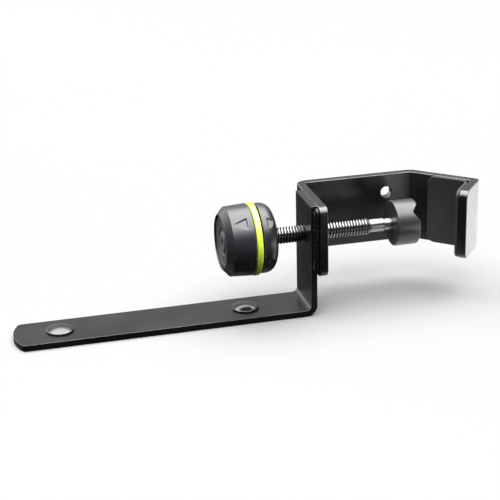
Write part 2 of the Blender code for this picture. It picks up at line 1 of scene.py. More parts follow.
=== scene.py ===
"""Looks of the riveted tube clamp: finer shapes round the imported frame, materials, light, camera.

Everything is in metres in the frame's own axes: +X along the strap towards the jaw, +Z up,
and the C of the clamp opens towards -Y.  Sizes that the frame knows are read from its boxes.
"""

import math

import bmesh
import bpy
from mathutils import Matrix, Vector


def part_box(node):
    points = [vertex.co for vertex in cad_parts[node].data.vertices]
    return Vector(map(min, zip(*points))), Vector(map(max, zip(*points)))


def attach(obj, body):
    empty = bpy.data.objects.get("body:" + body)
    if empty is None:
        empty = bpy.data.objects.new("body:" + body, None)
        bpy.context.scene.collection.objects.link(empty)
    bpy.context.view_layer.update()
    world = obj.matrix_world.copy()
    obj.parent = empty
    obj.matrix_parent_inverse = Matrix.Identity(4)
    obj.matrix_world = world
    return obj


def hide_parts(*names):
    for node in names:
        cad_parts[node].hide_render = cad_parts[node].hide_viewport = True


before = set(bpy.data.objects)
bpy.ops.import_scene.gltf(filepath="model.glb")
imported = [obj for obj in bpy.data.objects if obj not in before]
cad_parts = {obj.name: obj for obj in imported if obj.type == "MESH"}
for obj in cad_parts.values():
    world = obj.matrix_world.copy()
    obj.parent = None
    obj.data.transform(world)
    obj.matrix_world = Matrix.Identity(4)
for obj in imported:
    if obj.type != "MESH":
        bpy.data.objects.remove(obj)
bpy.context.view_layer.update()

MM = 0.001
GAP = 0.3 * MM
CUT_MARGIN = 2 * MM
ON_AXIS = 1e-9

# Sizes read from the frame
STRAP_LOW, STRAP_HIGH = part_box("mounting_strap")
BRACKET_LOW, BRACKET_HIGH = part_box("clamp_bracket")
LINER_LOW, LINER_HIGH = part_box("jaw_liner")
SCREW_LOW, SCREW_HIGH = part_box("clamp_screw")
PAD_LOW, PAD_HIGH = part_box("pad_body")
FRONT_LOW, FRONT_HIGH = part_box("knob_grip_front")
REAR_LOW, REAR_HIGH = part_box("knob_grip_rear")
RING_LOW, RING_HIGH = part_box("knob_ring")
CAP_LOW, CAP_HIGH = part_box("knob_cap")
BUSH_LOW, BUSH_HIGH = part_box("threaded_bush")
SCREW_Z = (SCREW_LOW.z + SCREW_HIGH.z) / 2

# Sizes of the flat bars that their boxes don't show
STRAP_THICKNESS = 3.0 * MM
STRAP_BEND_RADIUS = 2.5 * MM
TIP_CROWN_RADIUS = 24.0 * MM
TIP_CROWN_SHARE = 0.86
TIP_CORNER_RADIUS = 1.8 * MM
RIVET_HOLE_RADIUS = 2.7 * MM
STRAP_EDGE = 0.48 * MM
BAR_THICKNESS = 4.0 * MM
APEX_BEND = (0.62 * MM, 2.62 * MM)
JAW_BEND_X = 135.8 * MM
JAW_ANGLE = math.radians(43.5)
JAW_WALL_LENGTH = 36.3 * MM
LIP_TURN = math.radians(85)
LIP_LENGTH = 22.0 * MM
BAR_BEND_RADIUS = 1.5 * MM
BAR_CORNER_RADIUS = 3.5 * MM
BAR_EDGE = 0.55 * MM
BUSH_HOLE_RADIUS = 5.9 * MM
FIXING_HOLE = Vector((121.9, 0.0, 45.5)) * MM
FIXING_HOLE_RADIUS = 2.7 * MM
LINER_THICKNESS = 1.4 * MM
LINER_START = 11.5 * MM
LINER_END_MARGIN = 0.3 * MM
LINER_CORNER_RADIUS = 4.0 * MM
LINER_BEND_RADIUS = 2.6 * MM
LINER_EDGE = 0.4 * MM

# Welds: the wander is a sum of waves (share of the leg, length, phase)
WELD_ROW = 0.17 * MM
WELD_RIPPLE = 2.1 * MM
WELD_SAG = 1.3 * MM
WELD_END = 2.6 * MM
WELD_WANDER = ((0.050, 2.9 * MM, 0.0), (0.035, 1.3 * MM, 1.3), (0.020, 0.55 * MM, 0.0))
SEAM_OVERLAP = (0.52 * MM, 0.62 * MM)
SEAM_MARGIN = 0.5 * MM
SEAM_DEPTH = 0.75 * MM
SEAM_END = 0.8 * MM

# Rivets and bush
RIVET_SHANK_RADIUS = 2.4 * MM
RIVET_RIM_HEIGHT = 0.6 * MM
RIVET_EDGE = 0.35 * MM
BUSH_BORE_RADIUS = 4.27 * MM
BUSH_BARREL_RADIUS = 5.6 * MM
BUSH_EDGE = 0.45 * MM

# Knob
KNOB_CORE_RADIUS = 14.7 * MM
GRIP_RIM_INNER_RADIUS = 12.5 * MM
GRIP_RIM_RADIUS = 13.0 * MM
GRIP_SHOULDER_X = 35.9 * MM
GRIP_SHOULDER_RADIUS = 16.4 * MM
GRIP_BACK_RADIUS = 11.2 * MM
CORE_FRONT_X = 35.3 * MM
REAR_THROAT_RADIUS = 7.2 * MM
REAR_WALL = 1.9 * MM
GRIP_EDGE = 0.45 * MM
RING_EDGE = 0.7 * MM

# Facets: x of apex and edge (at the rear, before the grip's back), turns of the apex and
# of the edge's ends, depth, radius beyond which the grip has them
FACETS = 5
FACET_TURN = math.radians(45.5)
FACET_WALL = 0.42 * MM
FRONT_FACET_X = (36.1 * MM, 43.5 * MM)
FRONT_FACET_TURNS = [math.radians(turn) for turn in (1, -11, 11.2)]
FRONT_FACET_DEPTH = 0.8 * MM
FRONT_FACET_FROM = 15.6 * MM
REAR_FACET_X = (2.0 * MM, 5.3 * MM)
REAR_FACET_TURNS = [math.radians(turn) for turn in (4, -8.5, 8.5)]
REAR_FACET_DEPTH = 0.45 * MM
REAR_FACET_FROM = 14.9 * MM
REAR_APEX_RADIUS = 15.3 * MM

# Front cap; the relief of its face is (radius, depth below the front)
CAP_HOLE_RADIUS = 2.2 * MM
CAP_EDGE = 0.22 * MM
CAP_RELIEF = ((4.6 * MM, 0.0), (5.1 * MM, 0.7 * MM), (6.2 * MM, 0.7 * MM),
              (6.7 * MM, 0.2 * MM), (10.2 * MM, 0.3 * MM), (10.6 * MM, 0.05 * MM))

# Pad
SOCKET_RADIUS = 3.1 * MM
SOCKET_DEPTH = 6.1 * MM
V_DEPTH = 3.0 * MM
V_HALF_WIDTH = 4.8 * MM
V_FLOOR_HALF_WIDTH = 0.6 * MM
V_TURN = math.radians(47)
PAD_RIM_ROUNDING = 0.7 * MM
PAD_EDGE = 0.35 * MM

# Clamp screw
PITCH = 25.4 / 18 * MM
THREAD_RADIUS = 3.96 * MM
THREAD_ROOT_RADIUS = 3.15 * MM
THREAD_END_X = 105.0 * MM
NECK_RADIUS = 3.15 * MM
NECK_END_X = 112.4 * MM
GROOVE_RADIUS = 2.5 * MM
GROOVE_WIDTH = 0.7 * MM
JOURNAL_RADIUS = 2.8 * MM
SCREW_EDGE = 0.25 * MM
CREST_SHARE = 0.14
ROOT_SHARE = 0.16
FLANK_SHARE = (1 - CREST_SHARE - ROOT_SHARE) / 2

# Camera: where it stands, its turn (pitch, roll, heading) and its lens on a 36 mm sensor
CAMERA_PLACE = (-0.0988, -0.5995, 0.2672)
CAMERA_TURN = (69.125, 1.407, -14.204)
CAMERA_LENS = 101.7

# Studio sky: (direction, cosine where it starts, cosine where it is full, radiance)
STUDIO_LOBES = (
    ((0, 0, 1), -1.2, -1.0, 0.03),
    ((-0.15, 0.8, 0.75), 0.50, 0.80, 0.58),
    ((-0.7, 0.7, 0.12), 0.84, 0.96, 1.8),
    ((0, 0, 1), 0.58, 0.86, 9.2),
)
FLOOR_TONE = 0.21

# Bright panels just under the floor on the right: x from and to, y from and to, radiance
SWEEPS = ((0.086, 0.17, -0.045, 0.05, 1.2), (0.17, 0.70, -0.5, 0.5, 3.2))

FRAME_BODY = "frame"
SCREW_BODY = "spindle"
PAD_BODY = "pad"


# ---- material nodes

class Nodes:
    """Adds and links shader nodes of one material, or of a world, in a compact way."""

    def __init__(self, name, world=None):
        self.owner = world or bpy.data.materials.new(name)
        self.owner.use_nodes = True
        self.tree = self.owner.node_tree
        self.shader = self.tree.nodes.get("Principled BSDF")
        coordinates = self.add("ShaderNodeTexCoord")
        self.place = coordinates.outputs["Generated" if world else "Object"]

    def add(self, kind, **settings):
        node = self.tree.nodes.new(kind)
        for key, value in settings.items():
            setattr(node, key, value)
        return node

    def link(self, source, target):
        self.tree.links.new(source, target)

    def placed(self, kind, output, place=None, **values):
        """Output of a node that reads the place in the object, or another one."""
        node = self.add(kind)
        for key, value in values.items():
            node.inputs[key].default_value = value
        self.link(place or self.place, node.inputs["Vector"])
        return node.outputs[output]

    def noise(self, size, detail=2.0, roughness=0.5, place=None):
        """Noise whose features are about size metres across."""
        return self.placed("ShaderNodeTexNoise", "Fac", place, Scale=1.0 / size,
                           Detail=detail, Roughness=roughness)

    def cells(self, size):
        """Distance to the nearest of points about size metres apart."""
        return self.placed("ShaderNodeTexVoronoi", "Distance", Scale=1.0 / size)

    def stretched(self, x, y, z):
        """Object coordinates scaled along each axis."""
        return self.placed("ShaderNodeMapping", "Vector", Scale=(x, y, z))

    def ranged(self, value, low, high, to_low, to_high):
        """Map a value from one range to another, clamped and smooth."""
        node = self.add("ShaderNodeMapRange", interpolation_type="SMOOTHSTEP")
        for key, number in zip(("From Min", "From Max", "To Min", "To Max"),
                               (low, high, to_low, to_high)):
            node.inputs[key].default_value = number
        self.link(value, node.inputs["Value"])
        return node.outputs["Result"]

    def math(self, operation, first, second=None):
        node = self.add("ShaderNodeMath", operation=operation)
        for socket, value in zip(node.inputs, (first, second)):
            if value is None:
                continue
            if isinstance(value, (int, float)):
                socket.default_value = value
            else:
                self.link(value, socket)
        return node.outputs[0]

    def mixed(self, factor, first, second):
        """Mix of two colours, each a triple or a socket."""
        node = self.add("ShaderNodeMix", data_type="RGBA")
        self.link(factor, node.inputs["Factor"])
        for socket, colour in zip((node.inputs[6], node.inputs[7]), (first, second)):
            if isinstance(colour, tuple):
                socket.default_value = (*colour, 1.0)
            else:
                self.link(colour, socket)
        return node.outputs[2]

    def axis_distance(self):
        """Distance from the clamp screw's axis, in metres."""
        height = self.math("SUBTRACT", self.along("Z"), SCREW_Z)
        square = self.math("MULTIPLY", height, height)
        across = self.math("MULTIPLY", self.along("Y"), self.along("Y"))
        return self.math("SQRT", self.math("ADD", square, across))

    def along(self, axis, vector=None):
        """One coordinate of a vector, by default of the place in the object."""
        parts = self.add("ShaderNodeSeparateXYZ")
        self.link(vector or self.place, parts.inputs[0])
        return parts.outputs[axis]

    def slanted(self, axis):
        """1 where the surface leans halfway towards an axis, 0 along and across it."""
        lean = self.along(axis, self.add("ShaderNodeNewGeometry").outputs["Normal"])
        square = self.math("MULTIPLY", lean, lean)
        rest = self.math("SUBTRACT", 4.0, self.math("MULTIPLY", square, 4.0))
        return self.ranged(self.math("MULTIPLY", square, rest), 0.25, 0.75, 0.0, 1.0)

    def edges(self):
        """1 on convex edges, 0 on flats: the mask of the painted edge highlights."""
        return self.ranged(self.add("ShaderNodeNewGeometry").outputs["Pointiness"],
                           0.508, 0.532, 0.0, 1.0)

    def spread(self, noise, low, high):
        """A noise, which lies mostly between 0.3 and 0.7, spread over a range."""
        return self.ranged(noise, 0.3, 0.7, low, high)

    def bump(self, *layers):
        """Bump from (height socket, depth in metres) layers."""
        normal = None
        for height, depth in layers:
            node = self.add("ShaderNodeBump")
            node.inputs["Distance"].default_value = depth
            self.link(height, node.inputs["Height"])
            if normal:
                self.link(normal, node.inputs["Normal"])
            normal = node.outputs["Normal"]
        self.link(normal, self.shader.inputs["Normal"])

    def finish(self, colour, roughness, **constants):
        """Set colour and roughness (a value or a socket each) and plain constants."""
        for name, value in (("Base Color", colour), ("Roughness", roughness)):
            socket = self.shader.inputs[name]
            if isinstance(value, tuple):
                socket.default_value = (*value, 1.0)
            elif isinstance(value, float):
                socket.default_value = value
            else:
                self.link(value, socket)
        for name, value in constants.items():
            self.shader.inputs[name.replace("_", " ")].default_value = value
        return self.owner


def edge_highlight_mask(n, axis, tip_x):
    """Mask of the painted edge highlight: 1 on edges that lean towards the axis.

    Up to 7 mm behind tip_x, where there is one, they are those that lean up or down.
    """
    edge = n.slanted(axis)
    if tip_x is None:
        return edge
    near_tip = n.ranged(n.along("X"), tip_x + 6 * MM, tip_x + 7 * MM, 1.0, 0.0)
    away = n.math("SUBTRACT", 1.0, near_tip)
    return n.math("ADD", n.math("MULTIPLY", edge, away),
                  n.math("MULTIPLY", n.slanted("Z"), near_tip))


def powder_coat(name, highlight_axis=None, tip_x=None):
    """Black powder coat: orange peel, fine grain; given an axis, a painted highlight along the
    edges that lean towards it, which are also a little glossier.
    """
    n = Nodes(name)
    peel = n.noise(1.6 * MM, 1.0)
    grain = n.noise(0.28 * MM)
    cloud = n.noise(22 * MM, 3.0)
    specks = n.ranged(n.cells(1.9 * MM), 0.0, 0.10, 1.0, 0.0)
    tone = n.mixed(n.spread(cloud, 0.0, 1.0), (0.0040, 0.0040, 0.0042),
                   (0.0060, 0.0060, 0.0063))
    rough = n.spread(cloud, 0.20, 0.27)
    rough = n.math("ADD", rough, n.math("MULTIPLY", grain, 0.05))
    if highlight_axis:
        edge = edge_highlight_mask(n, highlight_axis, tip_x)
        patches = n.ranged(n.noise(4.0 * MM, 3.0, 0.6), 0.34, 0.58, 0.45, 1.0)
        # Painted highlight: pale colour on the masked edges, broken into patches; the next line
        # makes them a little glossier
        tone = n.mixed(n.math("MULTIPLY", edge, patches), tone, (0.115, 0.115, 0.116))
        rough = n.math("SUBTRACT", rough, n.math("MULTIPLY", edge, 0.06))
    tone = n.mixed(n.math("MULTIPLY", specks, 0.30), tone, (0.03, 0.03, 0.03))
    n.bump((peel, 0.035 * MM), (grain, 0.006 * MM))
    return n.finish(tone, rough, Specular_IOR_Level=0.42)


def rivet_black():
    """Black plated rivet head: glossy, slightly wavy and finely pitted."""
    n = Nodes("rivet_black")
    grain = n.noise(0.25 * MM)
    cloud = n.noise(3.0 * MM)
    tone = n.mixed(cloud, (0.055, 0.055, 0.058), (0.085, 0.085, 0.088))
    # Painted highlight: convex edges of the head lighter
    tone = n.mixed(n.edges(), tone, (0.16, 0.16, 0.165))
    rough = n.spread(cloud, 0.13, 0.22)
    n.bump((n.noise(1.2 * MM, 1.0), 0.012 * MM), (grain, 0.003 * MM))
    return n.finish(tone, rough, Metallic=0.85)


def dark_nickel():
    """Black nickel on the clamp screw: crests lighter, as worn plating with a painted highlight,
    roots darker as painted shade.
    """
    n = Nodes("dark_nickel")
    crest = n.ranged(n.axis_distance(), THREAD_ROOT_RADIUS + 0.25 * MM,
                     THREAD_RADIUS - 0.05 * MM, 0.0, 1.0)
    grain = n.noise(0.3 * MM)
    cloud = n.noise(6 * MM)
    # Colour by distance from the axis: lighter crests are worn plating plus a painted highlight,
    # darker roots are painted shade
    tone = n.mixed(crest, (0.07, 0.07, 0.073), (0.38, 0.38, 0.39))
    tone = n.mixed(n.ranged(cloud, 0.4, 0.75, 0.0, 0.5), tone, (0.18, 0.175, 0.17))
    shank = n.ranged(n.along("X"), THREAD_END_X, THREAD_END_X + 1.2 * MM, 0.0, 1.0)
    tone = n.mixed(shank, tone, (0.24, 0.24, 0.245))
    rough = n.ranged(crest, 0.0, 1.0, 0.32, 0.14)
    rough = n.math("SUBTRACT", rough, n.math("MULTIPLY", shank, 0.06))
    rough = n.math("ADD", rough, n.math("MULTIPLY", grain, 0.06))
    lines = n.noise(0.12 * MM, 1.0, place=n.stretched(1.0, 0.06, 0.06))
    n.bump((grain, 0.004 * MM), (lines, 0.004 * MM))
    return n.finish(tone, rough, Metallic=1.0)


def bare_metal(name, patches, relief, depth, tones, roughness, turned=True):
    """Cloudy bare metal; patches and relief are noises (size, detail)."""
    n = Nodes(name)
    cloud = n.noise(*patches)
    place = n.stretched(1.0, 0.1, 0.1) if turned else None
    n.bump((n.noise(*relief, place=place), depth))
    return n.finish(n.mixed(cloud, *tones), n.spread(cloud, *roughness), Metallic=1.0)


def zinc():
    """Zinc plate with a faint spangle and turning lines."""
    return bare_metal("zinc_plate", (1.6 * MM, 3.0), (0.15 * MM, 1.0), 0.006 * MM,
                      ((0.46, 0.46, 0.45), (0.62, 0.62, 0.60)), (0.26, 0.42))


def oxide():
    """Dark oxide on small steel parts."""
    return bare_metal("dark_oxide", (1.2 * MM, 3.0), (0.2 * MM, 2.0), 0.004 * MM,
                      ((0.004, 0.004, 0.0043), (0.008, 0.008, 0.0084)), (0.34, 0.48),
                      turned=False)


def brass():
    """Machined brass insert."""
    return bare_metal("machined_brass", (2.5 * MM, 2.0), (0.12 * MM, 1.0), 0.008 * MM,
                      ((0.55, 0.40, 0.17), (0.66, 0.50, 0.24)), (0.25, 0.38))


def soft_touch():
    """Soft-touch rubber: fine mould grain, slightly polished edges that carry a painted highlight.
    """
    n = Nodes("soft_grip")
    grain = n.noise(0.16 * MM, 3.0, 0.6)
    pebbles = n.cells(0.32 * MM)
    cloud = n.noise(9 * MM, 3.0)
    edge = n.edges()
    tone = n.mixed(cloud, (0.0095, 0.0105, 0.0125), (0.014, 0.0155, 0.018))
    # Painted highlight: convex edges lighter; the roughness below also makes them a little glossier
    tone = n.mixed(n.math("MULTIPLY", edge, 0.6), tone, (0.056, 0.062, 0.072))
    rough = n.spread(cloud, 0.30, 0.37)
    rough = n.math("SUBTRACT", rough, n.math("MULTIPLY", edge, 0.08))
    n.bump((pebbles, 0.012 * MM), (grain, 0.010 * MM))
    return n.finish(tone, rough, Specular_IOR_Level=0.62)


def liner_rubber():
    """Matte moulded rubber with a pressed texture and a little dust."""
    n = Nodes("liner_rubber")
    grain = n.noise(0.22 * MM, 3.0, 0.6)
    waves = n.noise(3.5 * MM)
    dust = n.ranged(n.noise(0.9 * MM, 4.0, 0.7), 0.60, 0.78, 0.0, 0.5)
    tone = n.mixed(waves, (0.0055, 0.0055, 0.0058), (0.0085, 0.0085, 0.0088))
    # Painted highlight: convex edges lighter
    tone = n.mixed(n.math("MULTIPLY", n.edges(), 0.5), tone, (0.034, 0.034, 0.034))
    tone = n.mixed(dust, tone, (0.016, 0.0155, 0.015))
    n.bump((waves, 0.05 * MM), (grain, 0.02 * MM))
    return n.finish(tone, n.spread(waves, 0.50, 0.62), Specular_IOR_Level=0.4)


def pad_plastic():
    """Moulded grey-black nylon pad with a satin skin."""
    n = Nodes("pad_plastic")
    grain = n.noise(0.2 * MM, 3.0)
    cloud = n.noise(5 * MM)
    flow = n.noise(1.4 * MM, 2.0, place=n.stretched(1.0, 0.25, 0.25))
    tone = n.mixed(cloud, (0.0095, 0.0095, 0.010), (0.014, 0.014, 0.0145))
    # Painted highlight: convex edges lighter
    tone = n.mixed(n.math("MULTIPLY", n.edges(), 0.6), tone, (0.040, 0.040, 0.041))
    rough = n.spread(flow, 0.30, 0.40)
    n.bump((flow, 0.010 * MM), (grain, 0.008 * MM))
    return n.finish(tone, rough, Specular_IOR_Level=0.6)


def hub_plastic():
    """Hard hub plastic, hardly seen behind the ring."""
    n = Nodes("hub_plastic")
    cloud = n.noise(4 * MM)
    tone = n.mixed(cloud, (0.014, 0.014, 0.016), (0.022, 0.022, 0.024))
    n.bump((n.noise(0.25 * MM), 0.006 * MM))
    return n.finish(tone, n.spread(cloud, 0.42, 0.55))


def cap_plastic():
    """Front cap: fine spark-eroded texture."""
    n = Nodes("cap_plastic")
    grain = n.noise(0.13 * MM, 3.0, 0.6)
    cloud = n.noise(5 * MM)
    tone = n.mixed(cloud, (0.020, 0.021, 0.023), (0.029, 0.0305, 0.033))
    # Painted highlight: convex edges of the rings and rim lighter
    tone = n.mixed(n.math("MULTIPLY", n.edges(), 0.8), tone, (0.09, 0.092, 0.096))
    n.bump((grain, 0.014 * MM))
    return n.finish(tone, n.spread(cloud, 0.42, 0.52), Specular_IOR_Level=0.6)


def lime_plastic():
    """Bright lime ring: saturated, slightly translucent skin, satin gloss."""
    n = Nodes("lime_plastic")
    cloud = n.noise(6 * MM)
    flow = n.noise(0.8 * MM)
    tone = n.mixed(cloud, (0.51, 0.72, 0.020), (0.58, 0.79, 0.028))
    n.bump((flow, 0.012 * MM), (n.noise(0.2 * MM), 0.005 * MM))
    return n.finish(tone, n.spread(cloud, 0.42, 0.50), Specular_IOR_Level=0.9,
                    Coat_Weight=0.9, Coat_Roughness=0.48, Subsurface_Weight=0.15,
                    Subsurface_Scale=0.8 * MM)


# ---- outlines

def arc(centre, radius, start, end, steps):
    """Points of a circular arc, ends included; angles in radians."""
    points = []
    for step in range(steps + 1):
        angle = start + (end - start) * step / steps
        points.append(Vector((centre[0] + radius * math.cos(angle),
                              centre[1] + radius * math.sin(angle))))
    return points


def rounded_corner(before, corner, after, radius, steps):
    """Points of a tangent arc in place of a corner, no longer than the edges allow."""
    corner = Vector(corner)
    back = Vector(before) - corner
    ahead = Vector(after) - corner
    room = 0.45 * min(back.length, ahead.length)
    back.normalize()
    ahead.normalize()
    half = back.angle(ahead) / 2
    if half > math.radians(88):
        return [corner]
    reach = min(radius / math.tan(half), room)
    radius = reach * math.tan(half)
    centre = corner + (back + ahead).normalized() * radius / math.sin(half)
    start = corner + back * reach - centre
    end = corner + ahead * reach - centre
    sweep = math.atan2(start.x * end.y - start.y * end.x, start.dot(end))
    return [centre + Matrix.Rotation(sweep * step / steps, 2) @ start
            for step in range(steps + 1)]


def softened(profile, radius, steps=4, closed=False):
    """A profile with its corners replaced by arcs; an open one keeps its two ends."""
    points = [Vector(point) for point in profile]
    count = len(points)
    result = [] if closed else [points[0]]
    for i in range(count) if closed else range(1, count - 1):
        result += rounded_corner(points[i - 1], points[i], points[(i + 1) % count],
                                 radius, steps)
    return result if closed else result + [points[-1]]


def left_of(first, second):
    """Unit vector to the left of the way from one point to another."""
    run = (second - first).normalized()
    return Vector((-run.y, run.x))


def offset_corner(before, corner, after, distance):
    """The corner of a polyline moved sideways, to the left, by a distance."""
    left = left_of(before, corner)
    bisector = (left + left_of(corner, after)).normalized()
    return corner + bisector * distance / bisector.dot(left)


def bend_radii(inner, thickness):
    """Inside and outside radius of a bend of even thickness."""
    return inner, inner + thickness


def bent_strip(path, thickness, side, bends, steps=14):
    """Closed outline of a bent strip with one edge along a polyline."""
    points = [Vector(point) for point in path]
    offset = side * thickness
    far = [points[0] + left_of(*points[:2]) * offset]
    far += [offset_corner(*points[i - 1:i + 2], offset) for i in range(1, len(points) - 1)]
    far.append(points[-1] + left_of(*points[-2:]) * offset)
    near_edge = [points[0]]
    far_edge = [far[0]]
    for i in range(1, len(points) - 1):
        before = points[i] - points[i - 1]
        after = points[i + 1] - points[i]
        wraps = (before.x * after.y - before.y * after.x) * side > 0
        inner, outer = bends[i - 1]
        near_radius = outer if wraps else inner
        far_radius = inner if wraps else outer
        near_edge += rounded_corner(*points[i - 1:i + 2], near_radius, steps)
        far_edge += rounded_corner(*far[i - 1:i + 2], far_radius, steps)
    near_edge.append(points[-1])
    far_edge.append(far[-1])
    return near_edge + far_edge[::-1]


# ---- mesh tools

def add_piece(name, builder, material, smooth_angle=35):
    """Link an object made from a bmesh, smooth shaded up to an angle."""
    bmesh.ops.recalc_face_normals(builder, faces=builder.faces)
    mesh = bpy.data.meshes.new(name)
    builder.to_mesh(mesh)
    builder.free()
    mesh.shade_smooth()
    mesh.set_sharp_from_angle(angle=math.radians(smooth_angle))
    piece = bpy.data.objects.new(name, mesh)
    bpy.context.scene.collection.objects.link(piece)
    if material:
        mesh.materials.append(material)
    return piece


def prism(outline, depth):
    """Extrude a closed planar outline of 3-D points along a vector."""
    builder = bmesh.new()
    face = builder.faces.new([builder.verts.new(point) for point in outline])
    grown = bmesh.ops.extrude_face_region(builder, geom=[face])
    moved = [item for item in grown["geom"] if isinstance(item, bmesh.types.BMVert)]
    bmesh.ops.translate(builder, vec=Vector(depth), verts=moved)
    return builder


def standing(outline, low, high):
    """Extrude an outline seen from above between two heights."""
    return prism([(p.x, p.y, low) for p in outline], (0, 0, high - low))


def skinned(builder, loops):
    """Join loops of equally many vertices by walls and close both ends."""
    for first, second in zip(loops, loops[1:]):
        for step in range(len(first)):
            after = (step + 1) % len(first)
            builder.faces.new((first[step], first[after], second[after], second[step]))
    builder.faces.new(loops[0])
    builder.faces.new(loops[-1])
    return builder


def round_axis(x, radius, angle, axis_z=SCREW_Z):
    """Point round the screw's axis, from the front over the top."""
    return x, -radius * math.cos(angle), axis_z + radius * math.sin(angle)


def cylinder(radius, start, direction, length, steps=64):
    """A plain cylinder for cutting holes."""
    builder = bmesh.new()
    bmesh.ops.create_cone(builder, cap_ends=True, segments=steps, radius1=radius,
                          radius2=radius, depth=length)
    turn = Vector((0, 0, 1)).rotation_difference(Vector(direction)).to_matrix().to_4x4()
    middle = Vector(start) + Vector(direction) * length / 2
    bmesh.ops.transform(builder, matrix=Matrix.Translation(middle) @ turn,
                        verts=builder.verts)
    return builder


def settled(piece):
    """Apply every modifier of a piece to its mesh."""
    graph = bpy.context.evaluated_depsgraph_get()
    mesh = bpy.data.meshes.new_from_object(piece.evaluated_get(graph))
    piece.modifiers.clear()
    piece.data = mesh


def carve(piece, cutters):
    """Subtract cutter solids from a piece."""
    tools = []
    for i, builder in enumerate(cutters):
        tool = add_piece(f"{piece.name}_tool_{i}", builder, None)
        modifier = piece.modifiers.new(f"cut_{i}", "BOOLEAN")
        modifier.operation = "DIFFERENCE"
        modifier.object = tool
        tools.append(tool)
    settled(piece)
    for tool in tools:
        bpy.data.objects.remove(tool)


def round_edges(piece, width, segments=4, angle=40):
    """Round the sharp edges of a piece, with flats that stay flat in shading."""
    piece.data.shade_smooth()
    bevel = piece.modifiers.new("rounding", "BEVEL")
    bevel.width = width
    bevel.segments = segments
    bevel.limit_method = "ANGLE"
    bevel.angle_limit = math.radians(angle)
    bevel.harden_normals = True
    settled(piece)


def ringed(builder, stations, steps, axis_z=SCREW_Z, radius_at=None):
    """Rings of vertices at (x, radius) stations round an axis, joined in turn by walls."""
    rings = []
    for x, radius in stations:
        ring = []
        for step in range(1 if radius < ON_AXIS else steps):
            angle = 2 * math.pi * step / steps
            reach = radius_at(x, radius, angle) if radius_at else radius
            ring.append(builder.verts.new(round_axis(x, reach, angle, axis_z)))
        if rings:
            bridge(builder, rings[-1], ring, steps)
        rings.append(ring)
    return rings


def carved(name, builder, material, cutters, edge):
    """A piece with solids cut away and its edges rounded."""
    piece = add_piece(name, builder, material)
    carve(piece, cutters)
    round_edges(piece, edge)
    return piece


def grid_solid(radius_at, stations, steps, axis_z=SCREW_Z):
    """Closed round body from rings round the screw's axis, or one at another height.

    stations are (x, radius) pairs, a closed loop or a line that starts and ends at
    radius 0.  radius_at(x, radius, angle) may move a point in or out.
    """
    builder = bmesh.new()
    rings = ringed(builder, stations, steps, axis_z, radius_at)
    if len(rings[0]) > 1:
        bridge(builder, rings[-1], rings[0], steps)
    return builder


def bridge(builder, first, second, steps):
    """Wall between two rings, either of which may be a single vertex."""
    for step in range(steps):
        after = (step + 1) % steps
        corners = (first[step % len(first)], first[after % len(first)],
                   second[after % len(second)], second[step % len(second)])
        builder.faces.new(list(dict.fromkeys(corners)))


def subdivided(loop, longest):
    """A closed loop of stations with extra ones where two are further apart."""
    result = []
    for first, second in zip(loop, loop[1:] + loop[:1]):
        result.append(first)
        count = math.ceil((Vector(second) - Vector(first)).length / longest)
        for i in range(1, count):
            result.append(Vector(first).lerp(Vector(second), i / count))
    return result


def settle_on(piece, body, slot, *nodes):
    """Ride on a body and stand for CAD nodes; the slot is not used."""
    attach(piece, body)
    if nodes:
        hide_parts(*nodes)
    return piece


# ---- flat bars

def tip_waste():
    """What is cut away round the strap's crowned, round-cornered tip."""
    half = STRAP_HIGH.y
    tip_x = STRAP_LOW.x
    sagitta = TIP_CROWN_RADIUS - math.sqrt(TIP_CROWN_RADIUS ** 2 - half ** 2)
    corner_x = tip_x + sagitta
    lean = math.asin(half / TIP_CROWN_RADIUS) * TIP_CROWN_SHARE
    crown = arc((tip_x + TIP_CROWN_RADIUS, 0), TIP_CROWN_RADIUS, math.pi - lean,
                math.pi + lean, 32)
    inside = corner_x + 2 * TIP_CORNER_RADIUS
    top = rounded_corner((inside, half), (corner_x, half), crown[1],
                         TIP_CORNER_RADIUS, 12)
    bottom = rounded_corner(crown[-2], (corner_x, -half), (inside, -half),
                            TIP_CORNER_RADIUS, 12)
    edge = top + crown[1:-1] + bottom
    clear = half + 2 * CUT_MARGIN
    waste_x = tip_x - 2 * CUT_MARGIN
    outline = [Vector(point) for point in
               ((inside, half), (inside, clear), (waste_x, clear),
                (waste_x, -clear), (inside, -clear), (inside, -half))]
    outline += edge[::-1]
    return standing(outline, -CUT_MARGIN, STRAP_THICKNESS + CUT_MARGIN)


def make_strap(material):
    """Flat bar with its crowned tip, bent up into the upright, edges rounded."""
    path = [(STRAP_LOW.x, 0), (STRAP_HIGH.x, 0), (STRAP_HIGH.x, STRAP_HIGH.z)]
    outline = bent_strip(path, STRAP_THICKNESS, 1,
                         [bend_radii(STRAP_BEND_RADIUS, STRAP_THICKNESS)])
    bar = prism([(p.x, STRAP_LOW.y, p.y) for p in outline],
                (0, STRAP_HIGH.y - STRAP_LOW.y, 0))
    through = STRAP_THICKNESS + 2 * CUT_MARGIN
    cutters = [tip_waste()]
    for node in ("rivet_outer", "rivet_inner"):
        low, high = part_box(node)
        cutters.append(cylinder(RIVET_HOLE_RADIUS, ((low.x + high.x) / 2, 0, -CUT_MARGIN),
                                (0, 0, 1), through))
    cutters.append(cylinder(THREAD_RADIUS + GAP,
                            (STRAP_HIGH.x - STRAP_THICKNESS - CUT_MARGIN, 0, SCREW_Z),
                            (1, 0, 0), through))
    strap = carved("strap", bar, material, cutters, STRAP_EDGE)
    return settle_on(strap, FRAME_BODY, "black_powder_coat", "mounting_strap")


